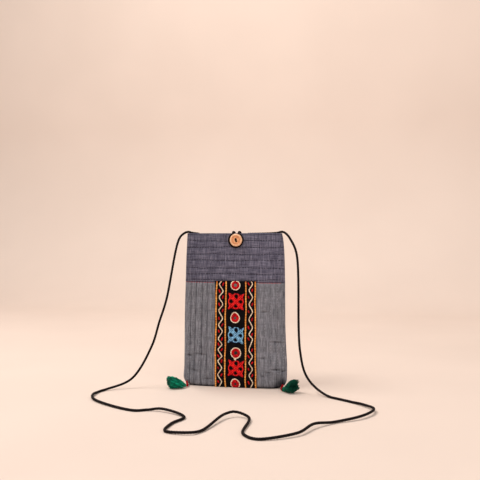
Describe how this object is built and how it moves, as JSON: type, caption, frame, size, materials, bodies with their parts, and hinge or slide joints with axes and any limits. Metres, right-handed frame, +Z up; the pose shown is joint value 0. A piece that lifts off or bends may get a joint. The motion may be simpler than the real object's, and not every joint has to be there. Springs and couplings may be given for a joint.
{
  "type": "phone sling bag",
  "caption": "Flat cloth phone pouch with an embroidered front strip, a loop and button closure, corner tassels and a long cord strap to wear across the body.",
  "frame": {"origin": "middle of the flat base, on the surface that the bag stands on", "axes": "+Z up from the base to the mouth, -Y out of the embroidered front, +X to the right seen from the front"},
  "size_m": [0.3121, 0.2663, 0.1825],
  "materials": {
    "slate_cloth": "matt handloom cotton with rows of running stitch",
    "grey_cloth": "matt handloom cotton with stitched tucks",
    "black_cloth": "matt cotton with coloured hand embroidery",
    "black_cord": "twisted cord with a low sheen",
    "turned_wood": "turned and lightly polished",
    "black_thread": "waxed sewing thread",
    "red_thread": "wrapped cotton thread",
    "green_thread": "combed silky thread"
  },
  "bodies": {
    "root": {"front_band": "slate_cloth", "front_panel": "grey_cloth", "embroidered_patch": "black_cloth", "back_panel": "slate_cloth", "strap_cord": "black_cord", "button": "turned_wood", "button_thread": "black_thread", "button_loop": "black_cord", "tassel_tie_left": "red_thread", "tassel_tie_right": "red_thread", "tassel_left": "green_thread", "tassel_right": "green_thread"}
  },
  "joints": []
}
